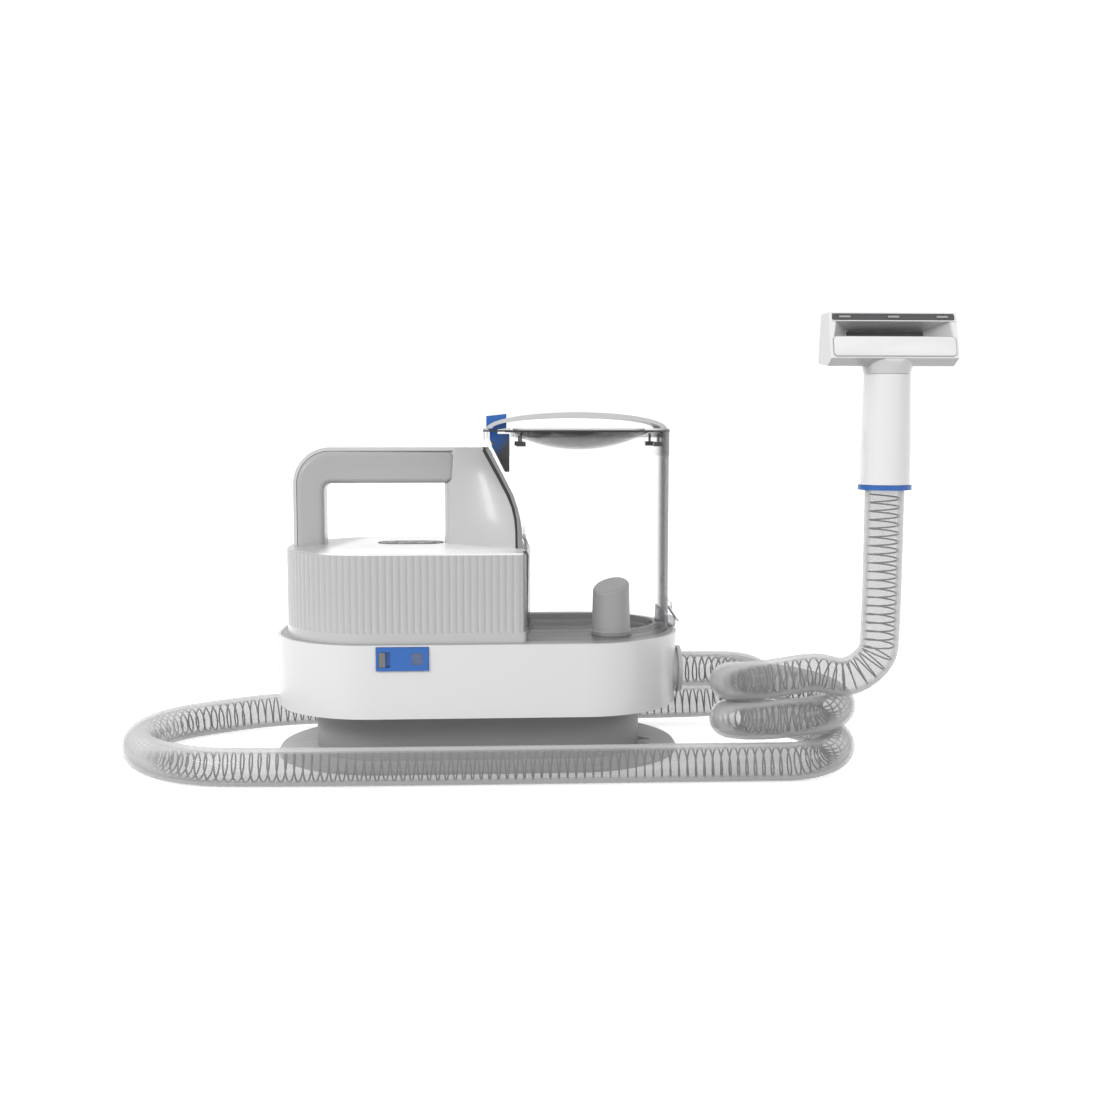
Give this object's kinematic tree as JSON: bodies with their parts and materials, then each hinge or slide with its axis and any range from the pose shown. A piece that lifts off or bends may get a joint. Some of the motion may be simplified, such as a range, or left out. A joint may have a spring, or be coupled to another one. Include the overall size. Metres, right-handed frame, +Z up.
{
  "type": "spot extractor",
  "caption": "Portable spot cleaner with clear waste tank, carry handle, coiled clear suction hose and flat hand tool.",
  "frame": {"origin": "middle of the base plate's underside, on the floor", "axes": "+X along the machine towards the clear tank and the hose, +Y to its back, +Z up"},
  "size_m": [0.6985, 0.2675, 0.384],
  "materials": {
    "pale_base": "smooth moulded",
    "rubber_foot": "matt black rubber",
    "screw_steel": "plain zinc",
    "dark_neck": "dark grey, fine texture",
    "white_shell": "white, satin gloss",
    "pale_grey": "light grey, smooth",
    "dark_tray": "dark grey, smooth",
    "blue_plastic": "mid blue, semi gloss",
    "clear_window": "clear plastic window",
    "grey_shell": "mid grey, satin",
    "dark_panel": "dark glossy film",
    "grey_button": "grey, satin",
    "dark_seal": "black rubber strip",
    "clear_tank": "clear polycarbonate",
    "riser_grey": "mid grey, smooth",
    "dark_cage": "near black",
    "float_white": "hollow white ball",
    "wire_steel": "bright wire",
    "clear_lid": "clear plastic",
    "smoke_dish": "smoke-grey clear plastic",
    "white_gloss": "white, glossy",
    "dark_strip": "dark brush strip",
    "pale_plate": "very light grey",
    "motor_steel": "stamped can",
    "inner_plastic": "dark grey, unpainted",
    "board_green": "green circuit board",
    "clear_inner": "clear plastic",
    "filter_foam": "open foam",
    "clear_hose": "semi-clear soft plastic",
    "hose_wire": "grey coated wire"
  },
  "bodies": {
    "machine": {"base_plate": "pale_base", "base_feet": "rubber_foot", "base_screws": "screw_steel", "neck": "dark_neck", "housing_band": "white_shell", "deck": "pale_grey", "tank_tray": "dark_tray", "side_plate": "blue_plastic", "plate_window": "clear_window", "hose_port": "grey_shell", "suction_duct": "dark_neck", "inlet_seal": "riser_grey", "motor_cover": "grey_shell", "top_cover": "white_shell", "control_panel": "dark_panel", "carry_handle": "grey_shell", "handle_trim": "white_shell", "tank_tower": "grey_shell", "tower_seal": "dark_seal", "suction_motor": "motor_steel", "motor_mount": "rubber_foot", "fan_case": "inner_plastic", "air_duct": "inner_plastic", "circuit_board": "board_green", "solution_pump": "inner_plastic", "clean_tank": "clear_inner", "exhaust_filter": "filter_foam", "power_gland": "dark_neck", "hose_run": "clear_hose", "hose_loops": "clear_hose", "hose_riser": "clear_hose", "front_wire": "hose_wire", "riser_wire": "hose_wire", "cuff_ring": "blue_plastic"},
    "tank": {"waste_tank": "clear_tank", "inlet_riser": "riser_grey", "float_cage": "dark_cage", "tank_hook": "clear_tank", "tab_pin": "wire_steel"},
    "float": {"float_ball": "float_white"},
    "bail": {"hook_bail": "wire_steel"},
    "lid": {"tank_lid": "clear_lid", "lid_dish": "smoke_dish", "lid_arch": "white_shell", "lid_clips": "dark_cage"},
    "tab": {"release_tab": "blue_plastic"},
    "impeller": {"suction_impeller": "inner_plastic", "motor_shaft": "wire_steel"},
    "rotor": {"pump_rotor": "riser_grey"},
    "latch": {"slide_latch": "blue_plastic"},
    "cap": {"filler_cap": "rubber_foot"},
    "power_button": {"button_power": "grey_button"},
    "spray_button": {"button_spray": "grey_button"},
    "suction_button": {"button_suction": "grey_button"},
    "tool": {"tool_grip": "white_gloss", "trigger_pin": "wire_steel"},
    "trigger": {"spray_trigger": "grey_button"},
    "head": {"tool_head": "white_gloss", "brush_strip": "dark_strip", "head_plate": "pale_plate"}
  },
  "joints": [
    {"name": "tank_lift", "type": "slide", "parent": "machine", "child": "tank", "axis": [0, 0, 1], "range_m": [0, 0.2]},
    {"name": "float_rise", "type": "slide", "parent": "tank", "child": "float", "axis": [0, 0, 1], "range_m": [0, 0.006]},
    {"name": "bail_swing", "type": "hinge", "parent": "tank", "child": "bail", "pos_m": [0.1755, 0, 0.128], "axis": [0, -1, 0], "range_deg": [0, 50]},
    {"name": "lid_lift", "type": "slide", "parent": "tank", "child": "lid", "axis": [0, 0, 1], "range_m": [0, 0.08]},
    {"name": "tab_press", "type": "hinge", "parent": "tank", "child": "tab", "pos_m": [0.014, 0, 0.279], "axis": [0, 1, 0], "range_deg": [0, 4], "stiffness_Nm_per_rad": 0.6, "springref_deg": -2.86},
    {"name": "impeller_spin", "type": "hinge", "parent": "machine", "child": "impeller", "pos_m": [-0.09, 0, 0.12], "axis": [0, 0, 1], "continuous": true},
    {"name": "rotor_spin", "type": "hinge", "parent": "machine", "child": "rotor", "pos_m": [-0.005, 0.048, 0.066], "axis": [0, 0, 1], "continuous": true},
    {"name": "latch_slide", "type": "slide", "parent": "machine", "child": "latch", "axis": [1, 0, 0], "range_m": [0, 0.004]},
    {"name": "cap_pull", "type": "slide", "parent": "machine", "child": "cap", "axis": [0, 1, 0], "range_m": [0, 0.02]},
    {"name": "power_press", "type": "slide", "parent": "machine", "child": "power_button", "axis": [0, 0, -1], "range_m": [0, 0.001], "stiffness_N_per_m": 900, "springref_m": -0.0004},
    {"name": "spray_press", "type": "slide", "parent": "machine", "child": "spray_button", "axis": [0, 0, -1], "range_m": [0, 0.001], "stiffness_N_per_m": 900, "springref_m": -0.0004},
    {"name": "suction_press", "type": "slide", "parent": "machine", "child": "suction_button", "axis": [0, 0, -1], "range_m": [0, 0.001], "stiffness_N_per_m": 900, "springref_m": -0.0004},
    {"name": "tool_turn", "type": "hinge", "parent": "machine", "child": "tool", "pos_m": [0.3315, -0.14, 0.25], "axis": [0, 0, 1], "continuous": true},
    {"name": "trigger_pull", "type": "hinge", "parent": "tool", "child": "trigger", "pos_m": [0.3315, -0.125, 0.322], "axis": [-1, 0, 0], "range_deg": [0, 4], "stiffness_Nm_per_rad": 0.8, "springref_deg": -2.86},
    {"name": "head_pull", "type": "slide", "parent": "tool", "child": "head", "axis": [0, 0, 1], "range_m": [0, 0.02]}
  ]
}
